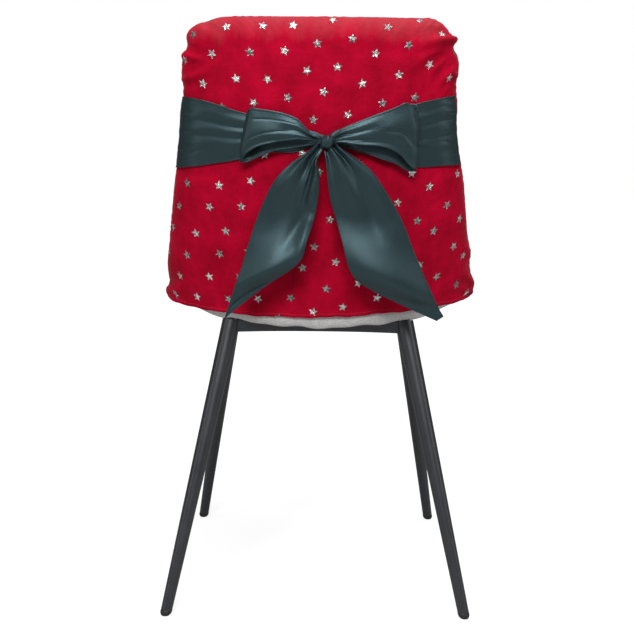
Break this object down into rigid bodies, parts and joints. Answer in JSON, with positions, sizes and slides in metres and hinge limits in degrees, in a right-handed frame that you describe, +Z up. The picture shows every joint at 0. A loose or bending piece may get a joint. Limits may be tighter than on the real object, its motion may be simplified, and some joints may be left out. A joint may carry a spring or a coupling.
{
  "type": "dining chair with back cover and sash",
  "caption": "Dining chair whose back wears a red velvet slip cover with a silver star print and a dark green satin sash tied in a bow.",
  "frame": {"origin": "on the floor under the middle of the bounding box", "axes": "+Z up, +Y the way the chair faces, so the cover's back panel with its bow faces -Y, and +X is to the right seen from behind"},
  "size_m": [0.4688, 0.4704, 0.845],
  "materials": {
    "red_velvet": "short-pile polyester velvet with a silver foil star print",
    "green_satin": "polyester satin ribbon, dark green, soft sheen",
    "grey_upholstery": "light grey woven upholstery, matte",
    "black_metal": "satin black powder coat",
    "black_board": "black non-woven dust cloth on a board",
    "black_plastic": "black moulded glide"
  },
  "bodies": {
    "root": {"backrest": "grey_upholstery", "cover_back_panel": "red_velvet", "cover_front_panel": "red_velvet", "foot_front_left": "black_plastic", "foot_front_right": "black_plastic", "foot_rear_left": "black_plastic", "foot_rear_right": "black_plastic", "knot": "green_satin", "leg_front_left": "black_metal", "leg_front_right": "black_metal", "leg_rear_left": "black_metal", "leg_rear_right": "black_metal", "loop_left": "green_satin", "loop_right": "green_satin", "rail_front": "black_metal", "rail_left": "black_metal", "rail_rear": "black_metal", "rail_right": "black_metal", "seat": "grey_upholstery", "seat_board": "black_board", "strap_left": "green_satin", "strap_right": "green_satin", "tail_left": "green_satin", "tail_right": "green_satin"}
  },
  "joints": []
}
